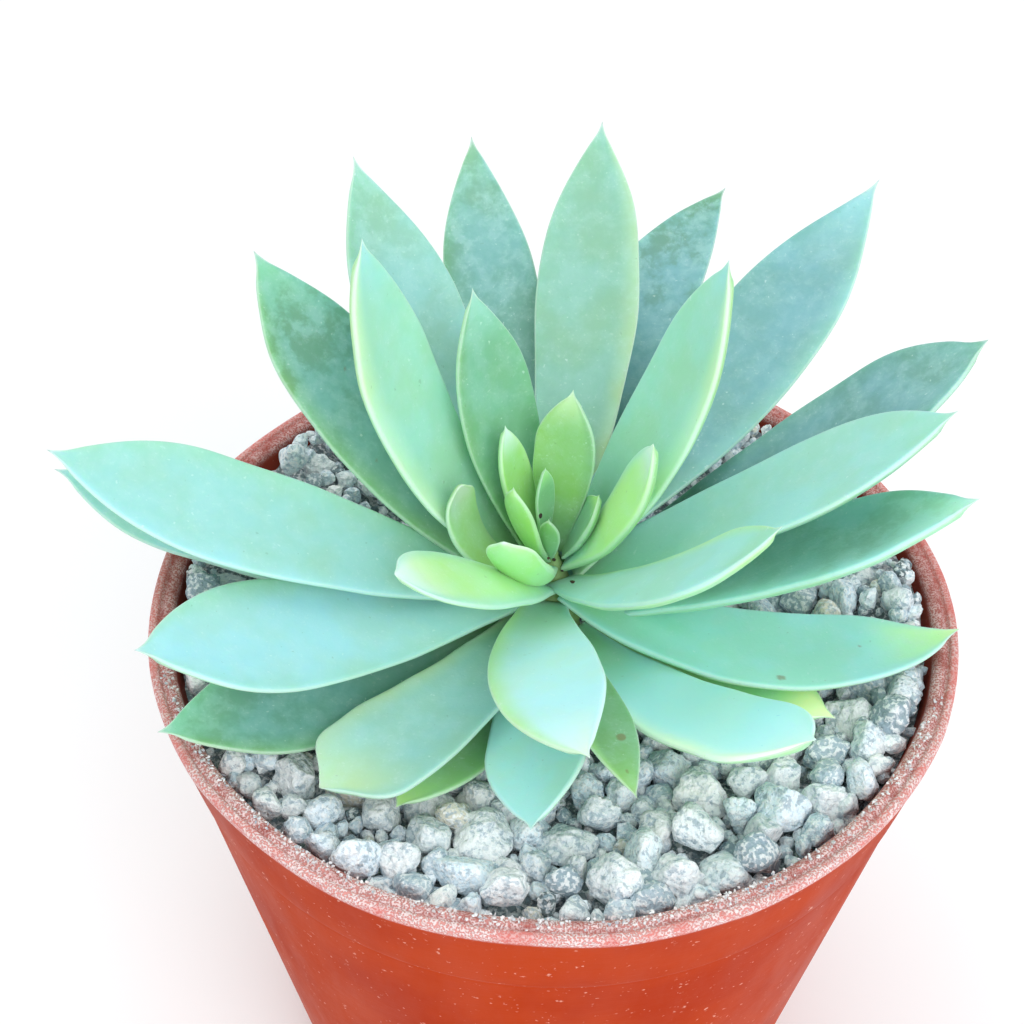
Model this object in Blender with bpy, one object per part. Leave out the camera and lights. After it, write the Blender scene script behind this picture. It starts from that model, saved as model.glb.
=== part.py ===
"""A rosette succulent in a terracotta-coloured nursery pot, topped with pumice grit.

The pot stands on z = 0 with its axis on Z. Every leaf is a fleshy blade lofted along
a bent midline that starts on the stem, and every piece is a separate closed solid.
"""

import math
from collections import namedtuple

import bmesh
import bpy
from mathutils import Matrix, Vector, noise
from mathutils.bvhtree import BVHTree

MM = 0.001
CLEARANCE = 0.3 * MM
WELD_DISTANCE = 0.002 * MM

POT_HEIGHT = 75 * MM
RIM_RADIUS = 42.5 * MM
COLLAR_HEIGHT = 11 * MM
COLLAR_DRAFT = 0.2
WALL_DRAFT = 0.148
WALL_THICKNESS = 2.2 * MM
LIP_WIDTH = 2.6 * MM
LIP_EDGE_WIDTH = 0.9 * MM
LIP_GROOVE_WIDTH = 0.4 * MM
LIP_GROOVE_DEPTH = 0.5 * MM
LIP_ROUNDING = 0.3 * MM
FLOOR_THICKNESS = 2 * MM
DRAIN_HOLES = 6
DRAIN_HOLE_RADIUS = 3 * MM
DRAIN_RING_RADIUS = 18 * MM
DRAIN_HOLE_SIDES = 12
POT_SEGMENTS = 48

GRIT_DROP = 8 * MM
GRIT_BANK = 2.5 * MM
GRIT_BANK_POWER = 3
GRIT_RINGS = 6
GRIT_DEPTH = 9 * MM

STEM_RADIUS = 3.2 * MM
STEM_TAPER = 0.42
STEM_TAPER_START = -1 * MM
STEM_TIP_RADIUS = 0.5 * MM
STEM_TOP = 6.2 * MM
ROOT_LENGTH = 26 * MM
ROOT_TIP_RADIUS = 0.8 * MM
STEM_SEGMENTS = 16

LEAF_SEAT = 0.05 * MM
LEAF_THICKNESS = 0.19
HEART_THICKNESS = 0.28
LEAF_CHANNEL = 0.12
LEAF_BASE_WIDTH = 0.42
HEART_BASE_WIDTH = 0.30
LEAF_BASE_THICKNESS = 0.42
LEAF_TIP_THICKNESS = 0.30
LEAF_SWELL_END = 0.35
LEAF_THINNING_START = 0.5
LEAF_SWELL_POWER = 1.3
LEAF_CLOSING_POWER = 1.35
LEAF_BELLY_POWER = 0.6
LEAF_EDGE_SHARE = 0.25
MIDLINE_STEPS = 60
LEAF_STATIONS = (0, 0.07, 0.16, 0.27, 0.39, 0.51, 0.62, 0.73, 0.83, 0.92)
LEAF_SIDES = 10
HEART_STATIONS = (0, 0.12, 0.28, 0.45, 0.60, 0.75, 0.89)
HEART_SIDES = 8

# How each leaf lies. Angles are in degrees and lengths in millimetres: the compass turn
# of its base, the rise of its midline at the base, how much more it rises (lift) and
# turns (sweep) by the tip, its roll about the midline, its length and width, the share
# of the length at which it is widest, how drawn out the point is, and how far above the
# rim it leaves the stem.
LeafShape = namedtuple(
    "LeafShape", "turn rise lift sweep roll length width widest point height"
)
LEAVES = {
    "lower_leaf_1": LeafShape(-119, 9, 4, 9, -8, 29.5, 10, 0.56, 1.05, -4.8),
    "lower_leaf_2": LeafShape(-24, 8, -3, -10, -5, 29, 10.5, 0.58, 1.15, -4.0),
    "lower_leaf_3": LeafShape(-76, 29, -20, 1, -8, 31, 6, 0.54, 1.20, -3.6),
    "lower_leaf_4": LeafShape(-144, 4, 11, -5, -12, 41, 11.5, 0.62, 1.15, -2.6),
    "lower_leaf_5": LeafShape(-92, 14, -3, 0, 18, 31, 10.5, 0.58, 1.15, -2.6),
    "lower_leaf_6": LeafShape(174, 12, 1, -1, -7, 51, 13.5, 0.64, 1.20, -1.4),
    "outer_leaf_1": LeafShape(-57, 7, 37, 10, -2, 39, 11, 0.72, 1.15, -2.6),
    "outer_leaf_2": LeafShape(-7, 26, 16, -14, -3, 44, 12.5, 0.62, 1.05, -1.2),
    "outer_leaf_3": LeafShape(82, 34.5, -16, -30, 6, 52, 11, 0.58, 1.10, -1.0),
    "outer_leaf_4": LeafShape(107, 33, 7, -6, -9, 51, 10.5, 0.58, 1.10, -1.0),
    "outer_leaf_5": LeafShape(-115, 5, 0, -23, 7, 33, 12, 0.82, 1.00, 0.0),
    "outer_leaf_6": LeafShape(158, 37, 6, -20, -2, 45, 13, 0.56, 1.10, 0.0),
    "outer_leaf_7": LeafShape(14, 36.5, 5, -10, -3, 49, 13, 0.72, 1.05, -1.2),
    "outer_leaf_8": LeafShape(-33, -7, 15, 53, -5.5, 41.5, 11.5, 0.52, 1.05, 2.2),
    "middle_leaf_1": LeafShape(-167, 25, 4, -9, -12, 51, 12.5, 0.66, 1.15, 0.8),
    "middle_leaf_2": LeafShape(-99, 27, -6, 32, 10, 36, 10.5, 0.56, 1.20, 1.2),
    "middle_leaf_3": LeafShape(136, 41, 17, -10, 1, 47, 12, 0.58, 1.20, 1.6),
    "middle_leaf_4": LeafShape(-1, 31, 14, -12, 1, 44, 12, 0.64, 1.15, 2.5),
    "middle_leaf_5": LeafShape(-154, 2.5, 30.5, 17, -13, 45, 13, 0.64, 1.10, 2.3),
    "middle_leaf_6": LeafShape(83, 32, 9, 4, 4, 50, 11, 0.60, 1.15, 2.6),
    "middle_leaf_7": LeafShape(43.5, 20, 21, 1, 6, 53, 12.5, 0.56, 1.20, 5.0),
    "inner_leaf_1": LeafShape(-112, 44, -7, -28, -10, 29.5, 8, 0.72, 0.80, 2.5),
    "inner_leaf_2": LeafShape(178, 47, 41, -10, -13, 43.5, 12, 0.58, 1.10, 3.0),
    "inner_leaf_3": LeafShape(-59, 33, 21, 38, 3, 35, 10, 0.64, 0.90, 3.2),
    "inner_leaf_4": LeafShape(26, 53, 29, -16, 5, 38.5, 11.5, 0.58, 1.00, 3.4),
    "inner_leaf_5": LeafShape(135, 59, 20, 1, 0, 30.5, 9.5, 0.54, 1.15, 4.2),
    "heart_leaf_1": LeafShape(-19, 51, 29, 18, 15, 20, 6.5, 0.58, 0.85, 4.6),
    "heart_leaf_2": LeafShape(-144, 10, 89, -64, -11, 17, 4.5, 0.68, 0.75, 4.8),
    "heart_leaf_3": LeafShape(-103, 31, 37, -26, 25, 17, 5.5, 0.66, 0.70, 4.8),
    "heart_leaf_4": LeafShape(81, 80, -8, -13, -1, 18.5, 6.5, 0.60, 1.20, 5.2),
    "heart_leaf_5": LeafShape(153, 65, 14, -1, 0, 16, 5, 0.58, 1.15, 5.2),
    "heart_leaf_6": LeafShape(-141, 62, 15, 9, 0, 13.5, 4, 0.62, 1.05, 5.4),
    "heart_leaf_7": LeafShape(-1, 66, 2, 7, 0, 9, 4.5, 0.60, 1.10, 5.6),
    "heart_leaf_8": LeafShape(148, 88, -1, -2, -2, 11, 3.5, 0.60, 1.10, 5.8),
    "heart_leaf_9": LeafShape(-105, 77, 3, -5, -1, 6.5, 2.5, 0.60, 1.10, 6.0),
}

# The larger stones of the top dressing, in millimetres, as laid out on a bed of the
# radius STONE_LAYOUT_RADIUS: centre x and y, length, width and height, then the turn of
# the long side in degrees.
StoneShape = namedtuple("StoneShape", "x y length width height turn")
STONES = {
    "stone_01": StoneShape(-5.9, -28.4, 6.4, 6.2, 4.0, 30),
    "stone_02": StoneShape(2.2, -28.4, 6.4, 5.2, 3.6, 160),
    "stone_03": StoneShape(6.5, -34.6, 6.6, 5.2, 5.2, 10),
    "stone_04": StoneShape(15.4, -22.6, 6.6, 5.4, 4.6, 125),
    "stone_05": StoneShape(30.4, -12.6, 6.0, 5.4, 4.6, 80),
    "stone_06": StoneShape(20.6, -27.6, 4.8, 4.2, 4.8, 60),
    "stone_07": StoneShape(12.9, -34.0, 5.2, 4.8, 5.2, 0),
    "stone_08": StoneShape(-24.2, -22.8, 5.0, 4.8, 4.4, 20),
    "stone_09": StoneShape(-35.6, 2.0, 5.0, 4.8, 4.4, 70),
    "stone_10": StoneShape(-28.2, 22.2, 5.2, 4.6, 4.8, 140),
    "stone_11": StoneShape(27.6, -24.4, 4.8, 4.2, 4.8, 35),
    "stone_12": StoneShape(34.6, 6.6, 5.0, 4.8, 4.6, 15),
    "stone_13": StoneShape(23.6, -20.4, 5.0, 4.4, 4.8, 100),
    "stone_14": StoneShape(-3.2, -35.4, 4.8, 4.2, 4.8, 5),
    "stone_15": StoneShape(24.6, 26.4, 5.0, 4.4, 4.6, 45),
    "stone_16": StoneShape(-29.8, -18.6, 4.4, 3.8, 4.4, 60),
    "stone_17": StoneShape(-13.0, -32.4, 4.6, 4.0, 4.6, 150),
    "stone_18": StoneShape(33.4, -1.4, 4.8, 4.2, 4.6, 95),
}
STONE_LAYOUT_RADIUS = 38.6 * MM
STONE_ROUGHNESS = 0.16
STONE_LUMPS = 3.0
STONE_NOISE_STEP = 7.3
SHARP_CREASE = 50

TERRACOTTA_PLASTIC = ("terracotta_plastic", (0.62, 0.12, 0.045), 0.42)
POTTING_SOIL = ("potting_soil", (0.045, 0.028, 0.018), 0.95)
GRIT = ("pumice_grit", (0.42, 0.43, 0.44), 0.9)
STONE = ("pumice_stone", (0.55, 0.56, 0.57), 0.85)
STEM_SKIN = ("stem_skin", (0.16, 0.20, 0.05), 0.6)
LEAF_SKINS = {
    "lower": ("leaf_skin_lower", (0.20, 0.36, 0.20), 0.45),
    "outer": ("leaf_skin_outer", (0.25, 0.47, 0.38), 0.45),
    "middle": ("leaf_skin_middle", (0.32, 0.58, 0.50), 0.45),
    "inner": ("leaf_skin_inner", (0.38, 0.66, 0.46), 0.42),
    "heart": ("leaf_skin_heart", (0.42, 0.68, 0.30), 0.4),
}


def clear_scene():
    for obj in list(bpy.data.objects):
        bpy.data.objects.remove(obj, do_unlink=True)


def material(skin):
    name, colour, roughness = skin
    made = bpy.data.materials.get(name)
    if made is None:
        made = bpy.data.materials.new(name)
        made.use_nodes = True
        shader = made.node_tree.nodes["Principled BSDF"]
        shader.inputs["Base Color"].default_value = (*colour, 1)
        shader.inputs["Roughness"].default_value = roughness
        shader.inputs["Metallic"].default_value = 0
    return made


def add_object(name, mesh, skin):
    mesh.materials.append(material(skin))
    mesh.shade_smooth()
    mesh.set_sharp_from_angle(angle=math.radians(SHARP_CREASE))
    obj = bpy.data.objects.new(name, mesh)
    bpy.context.collection.objects.link(obj)
    return obj


def mesh_from(bm, name):
    mesh = bpy.data.meshes.new(name)
    bm.to_mesh(mesh)
    bm.free()
    return mesh


def hide_as_cutter(obj):
    obj.hide_render = True
    obj.hide_set(True)
    obj.display_type = "WIRE"


def cut(obj, cutter, solver="EXACT"):
    boolean = obj.modifiers.new("cut_by_" + cutter.name, "BOOLEAN")
    boolean.operation = "DIFFERENCE"
    boolean.solver = solver
    boolean.object = cutter


def islands(bm):
    """The separate bodies in a mesh, each as a set of its vertices."""
    found = []
    left = set(bm.verts)
    while left:
        body = set()
        front = [left.pop()]
        while front:
            vert = front.pop()
            body.add(vert)
            near = {edge.other_vert(vert) for edge in vert.link_edges} & left
            left -= near
            front.extend(near)
        found.append(body)
    return found


def apply_cuts(obj):
    """Makes an object's cuts permanent, welds corners that they leave almost touching
    and drops any sliver that they leave loose."""
    graph = bpy.context.evaluated_depsgraph_get()
    mesh = bpy.data.meshes.new_from_object(obj.evaluated_get(graph))
    bm = bmesh.new()
    bm.from_mesh(mesh)
    bmesh.ops.dissolve_degenerate(bm, dist=WELD_DISTANCE, edges=bm.edges)
    bodies = sorted(islands(bm), key=len)
    for sliver in bodies[:-1]:
        bmesh.ops.delete(bm, geom=list(sliver), context="VERTS")
    bm.to_mesh(mesh)
    bm.free()
    obj.modifiers.clear()
    obj.data = mesh


def lathed(name, profile, segments):
    """A closed solid turned about Z. The profile runs anticlockwise, and it either
    starts and ends on the axis or closes on itself as a hollow ring."""
    bm = bmesh.new()
    rings = []
    for radius, height in profile:
        if radius == 0:
            rings.append([bm.verts.new((0, 0, height))])
            continue
        ring = []
        for k in range(segments):
            turn = math.tau * k / segments
            point = (radius * math.cos(turn), radius * math.sin(turn), height)
            ring.append(bm.verts.new(point))
        rings.append(ring)
    hollow = len(rings[0]) > 1
    following = rings[1:] + rings[:1] if hollow else rings[1:]
    for lower, upper in zip(rings, following):
        for k in range(segments):
            after = (k + 1) % segments
            if len(lower) == 1:
                bm.faces.new((lower[0], upper[after], upper[k]))
            elif len(upper) == 1:
                bm.faces.new((lower[k], lower[after], upper[0]))
            else:
                bm.faces.new((lower[k], lower[after], upper[after], upper[k]))
    return mesh_from(bm, name)


def outer_radius(height):
    """The pot's outside: a tapering wall under a collar that tapers a little faster."""
    collar_bottom = POT_HEIGHT - COLLAR_HEIGHT
    if height >= collar_bottom:
        return RIM_RADIUS - COLLAR_DRAFT * (POT_HEIGHT - height)
    under_collar = RIM_RADIUS - COLLAR_DRAFT * COLLAR_HEIGHT
    return under_collar - WALL_DRAFT * (collar_bottom - height)


def inner_radius(height):
    """The pot's bore: an even wall up to the collar, then thickening to the lip."""
    collar_bottom = POT_HEIGHT - COLLAR_HEIGHT
    if height <= collar_bottom:
        return outer_radius(height) - WALL_THICKNESS
    share = (height - collar_bottom) / COLLAR_HEIGHT
    wall = WALL_THICKNESS + (LIP_WIDTH - WALL_THICKNESS) * share
    return outer_radius(height) - wall


def build_pot():
    collar_bottom = POT_HEIGHT - COLLAR_HEIGHT
    edge_inside = RIM_RADIUS - LIP_EDGE_WIDTH
    groove_inside = edge_inside - LIP_GROOVE_WIDTH
    lip_inside = RIM_RADIUS - LIP_WIDTH
    groove_floor = POT_HEIGHT - LIP_GROOVE_DEPTH
    profile = [
        (0, 0),
        (outer_radius(0), 0),
        (outer_radius(collar_bottom), collar_bottom),
        (RIM_RADIUS, POT_HEIGHT - LIP_ROUNDING),
        (RIM_RADIUS - LIP_ROUNDING, POT_HEIGHT),
        (edge_inside, POT_HEIGHT),
        (edge_inside, groove_floor),
        (groove_inside, groove_floor),
        (groove_inside - LIP_ROUNDING, POT_HEIGHT - LIP_ROUNDING / 2),
        (lip_inside + LIP_ROUNDING, POT_HEIGHT - LIP_ROUNDING / 2),
        (lip_inside, POT_HEIGHT - 2 * LIP_ROUNDING),
        (inner_radius(collar_bottom), collar_bottom),
        (inner_radius(FLOOR_THICKNESS), FLOOR_THICKNESS),
        (0, FLOOR_THICKNESS),
    ]
    pot = add_object("pot", lathed("pot", profile, POT_SEGMENTS), TERRACOTTA_PLASTIC)
    bm = bmesh.new()
    for k in range(DRAIN_HOLES):
        turn = math.tau * k / DRAIN_HOLES
        place = Matrix.Rotation(turn, 4, "Z") @ Matrix.Translation((DRAIN_RING_RADIUS, 0, 0))
        bmesh.ops.create_cone(
            bm,
            cap_ends=True,
            segments=DRAIN_HOLE_SIDES,
            radius1=DRAIN_HOLE_RADIUS,
            radius2=DRAIN_HOLE_RADIUS,
            depth=4 * FLOOR_THICKNESS,
            matrix=place,
        )
    drills = add_object("drain_drills", mesh_from(bm, "drain_drills"), TERRACOTTA_PLASTIC)
    cut(pot, drills)
    hide_as_cutter(drills)


def stem_radius(height):
    """The stem's radius at a height above the rim: a short column with a blunt cone."""
    tapered = STEM_RADIUS - STEM_TAPER * max(height - STEM_TAPER_START, 0)
    return max(tapered, STEM_TIP_RADIUS)


def stem_profile(clearance):
    """The stem from its root tip up to the growing point, grown by a clearance."""
    grit_bottom = -GRIT_DROP - GRIT_DEPTH
    root_tip = grit_bottom - ROOT_LENGTH
    cone_end = STEM_TAPER_START + (STEM_RADIUS - STEM_TIP_RADIUS) / STEM_TAPER
    outline = [
        (0, root_tip - clearance),
        (ROOT_TIP_RADIUS + clearance, root_tip - clearance),
        (STEM_RADIUS + clearance, grit_bottom),
        (STEM_RADIUS + clearance, STEM_TAPER_START),
        (STEM_TIP_RADIUS + clearance, min(cone_end, STEM_TOP) + clearance),
        (0, STEM_TOP + clearance),
    ]
    return [(radius, POT_HEIGHT + height) for radius, height in outline]


def build_stem():
    mesh = lathed("stem", stem_profile(0), STEM_SEGMENTS)
    return add_object("stem_and_root", mesh, STEM_SKIN)


def bed_height(radius):
    """The top of the grit bed, banked up towards the wall as the power of the radius."""
    level = POT_HEIGHT - GRIT_DROP
    return level + GRIT_BANK * (radius / inner_radius(level)) ** GRIT_BANK_POWER


def build_fill():
    """The potting soil, with a well for the root, and the dished bed of grit over it."""
    soil_bottom = FLOOR_THICKNESS + CLEARANCE
    soil_top = POT_HEIGHT - GRIT_DROP - GRIT_DEPTH - CLEARANCE
    root_tip = POT_HEIGHT - GRIT_DROP - GRIT_DEPTH - ROOT_LENGTH
    well_top = STEM_RADIUS + CLEARANCE
    soil = [
        (0, soil_bottom),
        (inner_radius(soil_bottom) - CLEARANCE, soil_bottom),
        (inner_radius(soil_top) - CLEARANCE, soil_top),
        (well_top, soil_top),
        (ROOT_TIP_RADIUS + CLEARANCE, root_tip - CLEARANCE),
        (0, root_tip - CLEARANCE),
    ]
    add_object("potting_soil", lathed("potting_soil", soil, POT_SEGMENTS), POTTING_SOIL)
    bed_bottom = soil_top + CLEARANCE
    bed_edge = inner_radius(POT_HEIGHT - GRIT_DROP) - CLEARANCE
    bed = [
        (well_top, bed_bottom),
        (inner_radius(bed_bottom) - CLEARANCE, bed_bottom),
    ]
    for k in range(GRIT_RINGS + 1):
        radius = bed_edge + (well_top - bed_edge) * k / GRIT_RINGS
        bed.append((radius, bed_height(radius)))
    add_object("grit_bed", lathed("grit_bed", bed, POT_SEGMENTS), GRIT)


def stone_mesh(name, stone, order, grown=0.0):
    """A broken pebble: a ball squared off by noise, seated just clear of the bed, whose
    slope is highest under the side of the stone nearest the wall. Its place and its size
    follow the bed's radius. A positive growth gives the space that leaves keep clear of."""
    bm = bmesh.new()
    bmesh.ops.create_icosphere(bm, subdivisions=2, radius=0.5)
    for vert in bm.verts:
        bump = noise.noise(vert.co * STONE_LUMPS + Vector((0, 0, STONE_NOISE_STEP * order)))
        vert.co *= 1 + STONE_ROUGHNESS * bump
    tall = max(vert.co.z for vert in bm.verts) - min(vert.co.z for vert in bm.verts)
    scale = inner_radius(POT_HEIGHT - GRIT_DROP) / STONE_LAYOUT_RADIUS
    size = Vector((stone.length, stone.width, stone.height / tall)) * MM * scale
    turned = Matrix.Rotation(math.radians(stone.turn), 4, "Z")
    shape = turned @ Matrix.Diagonal((*size, 1))
    bmesh.ops.transform(bm, matrix=shape, verts=bm.verts)
    reach = max(vert.co.xy.length for vert in bm.verts)
    place = Vector((stone.x, stone.y)) * MM * scale
    farthest = inner_radius(POT_HEIGHT - GRIT_DROP) - CLEARANCE - reach
    place *= min(1, farthest / place.length)
    seat = max(bed_height((place + vert.co.xy).length) - vert.co.z for vert in bm.verts)
    centre = Vector((*place, seat + CLEARANCE))
    for vert in bm.verts:
        vert.co += vert.co.normalized() * grown + centre
    return mesh_from(bm, name)


def build_stones():
    """The larger stones. Gives the spaces round them, as hidden objects."""
    spaces = []
    for order, (name, stone) in enumerate(STONES.items()):
        add_object(name, stone_mesh(name, stone, order), STONE)
        grown = stone_mesh(name + "_space", stone, order, CLEARANCE)
        spaces.append(add_object(name + "_space", grown, STONE))
    return spaces


def blade_width(share, leaf, base):
    """Half the blade's width: a sine swell from the base to the widest place, then a
    cosine that draws in to the point."""
    if share < leaf.widest:
        swell = math.sin(math.pi / 2 * share / leaf.widest) ** LEAF_SWELL_POWER
        return leaf.width / 2 * MM * (base + (1 - base) * swell)
    past = (share - leaf.widest) / (1 - leaf.widest)
    closing = max(math.cos(math.pi / 2 * past**LEAF_CLOSING_POWER), 0)
    return leaf.width / 2 * MM * closing**leaf.point


def blade_thickness(share, half, ratio, leaf):
    """The blade's thickness on its midline, thin where it joins the stem and at the tip."""
    if share < LEAF_SWELL_END:
        swell = math.sin(math.pi / 2 * share / LEAF_SWELL_END)
        part = LEAF_BASE_THICKNESS + (1 - LEAF_BASE_THICKNESS) * swell
    else:
        past = max(share - LEAF_THINNING_START, 0) / (1 - LEAF_THINNING_START)
        part = 1 - (1 - LEAF_TIP_THICKNESS) * past**2
    closing = min(1, half / (LEAF_EDGE_SHARE * leaf.width / 2 * MM))
    return ratio * leaf.width * MM * part * closing


def midline(leaf):
    """Points along a midline whose rise and turn change evenly, each with the leaf's
    sideways and upward directions there. The roll comes in along the first third."""
    height = leaf.height * MM
    seat = stem_radius(height) + CLEARANCE + LEAF_SEAT
    base_turn = math.radians(leaf.turn)
    place = Vector(
        (seat * math.cos(base_turn), seat * math.sin(base_turn), POT_HEIGHT + height)
    )
    points = []
    before = None
    for k in range(MIDLINE_STEPS + 1):
        share = k / MIDLINE_STEPS
        rise = math.radians(leaf.rise + leaf.lift * share)
        turn = math.radians(leaf.turn + leaf.sweep * share)
        level = Vector((-math.sin(turn), math.cos(turn), 0))
        outward = Vector((math.cos(turn), math.sin(turn), 0))
        ahead = outward * math.cos(rise) + Vector((0, 0, math.sin(rise)))
        if before is not None:
            place = place + (before + ahead) / 2 * (leaf.length * MM / MIDLINE_STEPS)
        roll = math.radians(leaf.roll) * min(share / LEAF_SWELL_END, 1)
        side = Matrix.Rotation(roll, 3, ahead) @ level
        points.append((place.copy(), side, ahead.cross(side)))
        before = ahead
    return points


def leaf_mesh(name, leaf, grown=0.0):
    """A blade with a channelled upper face and a full underside, lofted ring by ring.
    A positive growth gives the space that a neighbour keeps clear of."""
    heart = name.startswith("heart")
    stations = HEART_STATIONS if heart else LEAF_STATIONS
    sides = HEART_SIDES if heart else LEAF_SIDES
    ratio = HEART_THICKNESS if heart else LEAF_THICKNESS
    base_width = HEART_BASE_WIDTH if heart else LEAF_BASE_WIDTH
    line = midline(leaf)
    bm = bmesh.new()
    rings = []
    for share in stations:
        place, side, up = line[round(share * MIDLINE_STEPS)]
        half = blade_width(share, leaf, base_width)
        thick = blade_thickness(share, half, ratio, leaf)
        ring = []
        for k in range(sides):
            angle = math.tau * k / sides
            across = math.cos(angle)
            lift = LEAF_CHANNEL * half * across**2
            if k > sides / 2:
                lift -= thick * (1 - across**2) ** LEAF_BELLY_POWER
            point = place + side * (half * across) + up * lift
            outward = side * math.cos(angle) + up * math.sin(angle)
            ring.append(bm.verts.new(point + outward * grown))
        rings.append(ring)
    for ring, following in zip(rings, rings[1:]):
        for k in range(sides):
            after = (k + 1) % sides
            bm.faces.new((ring[k], ring[after], following[after], following[k]))
    tip_place, tip_side, tip_up = line[-1]
    tip_ahead = tip_side.cross(tip_up)
    tip = bm.verts.new(tip_place + tip_ahead * grown)
    for k in range(sides):
        bm.faces.new((rings[-1][k], rings[-1][(k + 1) % sides], tip))
    base_place = sum((vert.co for vert in rings[0]), Vector()) / sides
    base_ahead = line[0][1].cross(line[0][2])
    base = bm.verts.new(base_place - base_ahead * grown)
    for k in range(sides):
        bm.faces.new((rings[0][(k + 1) % sides], rings[0][k], base))
    bmesh.ops.recalc_face_normals(bm, faces=bm.faces)
    return mesh_from(bm, name)


def tree_of(mesh):
    corners = [vert.co for vert in mesh.vertices]
    faces = [tuple(face.vertices) for face in mesh.polygons]
    return BVHTree.FromPolygons(corners, faces)


def wall_profile(clearance):
    """The upper wall and the lip as a plain ring, grown by a clearance."""
    low = POT_HEIGHT - 2 * COLLAR_HEIGHT
    return [
        (inner_radius(low) - clearance, low),
        (outer_radius(low) + clearance, low),
        (RIM_RADIUS + clearance, POT_HEIGHT + clearance),
        (RIM_RADIUS - LIP_WIDTH - clearance, POT_HEIGHT + clearance),
    ]


def build_leaves(stone_spaces):
    """Where two leaves press together the wider one is dented to keep clear, and every
    leaf keeps clear of the stem, the pot and the stones. The exact solver loses blades
    as thin as these, so the dents use the manifold one."""
    stem_mesh = lathed("stem_space", stem_profile(CLEARANCE), STEM_SEGMENTS)
    wall_mesh = lathed("wall_space", wall_profile(CLEARANCE), POT_SEGMENTS)
    stem_space = add_object("stem_space", stem_mesh, STEM_SKIN)
    wall_space = add_object("wall_space", wall_mesh, TERRACOTTA_PLASTIC)
    solid_spaces = [stem_space, wall_space, *stone_spaces]
    spaces = [(space, tree_of(space.data)) for space in solid_spaces]
    for name, leaf in sorted(LEAVES.items(), key=lambda item: item[1].width):
        skin = LEAF_SKINS[name.split("_")[0]]
        blade = add_object(name, leaf_mesh(name, leaf), skin)
        blade_tree = tree_of(blade.data)
        for space, space_tree in spaces:
            if blade_tree.overlap(space_tree):
                cut(blade, space, "MANIFOLD")
        apply_cuts(blade)
        room = add_object(name + "_space", leaf_mesh(name + "_space", leaf, CLEARANCE), skin)
        spaces.append((room, tree_of(room.data)))
    for space, _ in spaces:
        hide_as_cutter(space)


def main():
    clear_scene()
    build_pot()
    build_stem()
    build_fill()
    build_leaves(build_stones())


main()
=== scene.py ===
import math

import bmesh
import bpy
import numpy as np
from mathutils import Matrix, Vector


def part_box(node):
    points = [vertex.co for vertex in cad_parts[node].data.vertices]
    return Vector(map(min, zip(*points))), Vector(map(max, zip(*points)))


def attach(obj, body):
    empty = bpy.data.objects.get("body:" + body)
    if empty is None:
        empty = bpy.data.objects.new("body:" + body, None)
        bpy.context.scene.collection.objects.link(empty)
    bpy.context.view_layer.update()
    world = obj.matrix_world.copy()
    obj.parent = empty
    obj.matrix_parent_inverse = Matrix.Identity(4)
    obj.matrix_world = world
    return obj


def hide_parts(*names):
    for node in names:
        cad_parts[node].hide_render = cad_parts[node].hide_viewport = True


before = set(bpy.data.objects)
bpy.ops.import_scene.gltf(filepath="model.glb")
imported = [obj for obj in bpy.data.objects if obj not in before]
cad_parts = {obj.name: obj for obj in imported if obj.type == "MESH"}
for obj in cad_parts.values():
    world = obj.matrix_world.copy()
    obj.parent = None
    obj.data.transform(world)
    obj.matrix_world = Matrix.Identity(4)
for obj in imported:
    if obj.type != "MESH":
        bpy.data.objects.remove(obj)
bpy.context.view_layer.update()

# ---------------------------------------------------------------------------
# The stage: a matt white table top under an overcast sky, with two soft windows. None
# of it belongs to the plant or its pot.

TABLE_HALF_WIDTH = 3.0
SKY_LIGHT = (0.93, 0.98, 1.0)

table_mesh = bpy.data.meshes.new("table_top")
table_corners = np.array([(-1, -1), (1, -1), (1, 1), (-1, 1)]) * TABLE_HALF_WIDTH
table_mesh.from_pydata([(x, y, 0.0) for x, y in table_corners], [], [(0, 1, 2, 3)])
table_top = bpy.data.objects.new("table_top", table_mesh)
bpy.context.scene.collection.objects.link(table_top)
table_paint = bpy.data.materials.new("white_table_paint")
table_paint.use_nodes = True
table_shader = table_paint.node_tree.nodes["Principled BSDF"]
table_shader.inputs["Base Color"].default_value = (0.97, 0.97, 0.97, 1)
table_shader.inputs["Roughness"].default_value = 0.9
table_shader.inputs["Specular IOR Level"].default_value = 0.1
table_mesh.materials.append(table_paint)

sky = bpy.data.worlds.new("overcast_sky")
sky.use_nodes = True
sky_shader = sky.node_tree.nodes["Background"]
sky_shader.inputs["Color"].default_value = (*SKY_LIGHT, 1)
sky_shader.inputs["Strength"].default_value = 0.88
bpy.context.scene.world = sky
bpy.context.scene.view_settings.view_transform = "Standard"


def window_light(name, place, aim, width, watts, colour):
    """A square soft light at place that faces aim."""
    data = bpy.data.lights.new(name, "AREA")
    data.shape = "SQUARE"
    data.size = width
    data.energy = watts
    data.color = colour
    light = bpy.data.objects.new(name, data)
    bpy.context.scene.collection.objects.link(light)
    light.location = place
    light.rotation_euler = (Vector(aim) - Vector(place)).to_track_quat("-Z", "Y").to_euler()


window_light("overhead_window", (-0.14, 0.16, 0.62), (0, 0, 0.08), 0.50, 0.8, (1.0, 0.99, 0.96))
window_light("front_window", (0.26, -0.48, 0.44), (0, 0, 0.06), 0.50, 2.1, (0.97, 0.98, 1.0))

# The camera looks down at the rosette from the front, close enough for strong perspective.
CAMERA_PLACE = (0.0, -0.119276, 0.196433)
CAMERA_RIGHT = (0.999044, 0.043130, 0.007093)
CAMERA_UP = (-0.034455, 0.677249, 0.734946)

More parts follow.
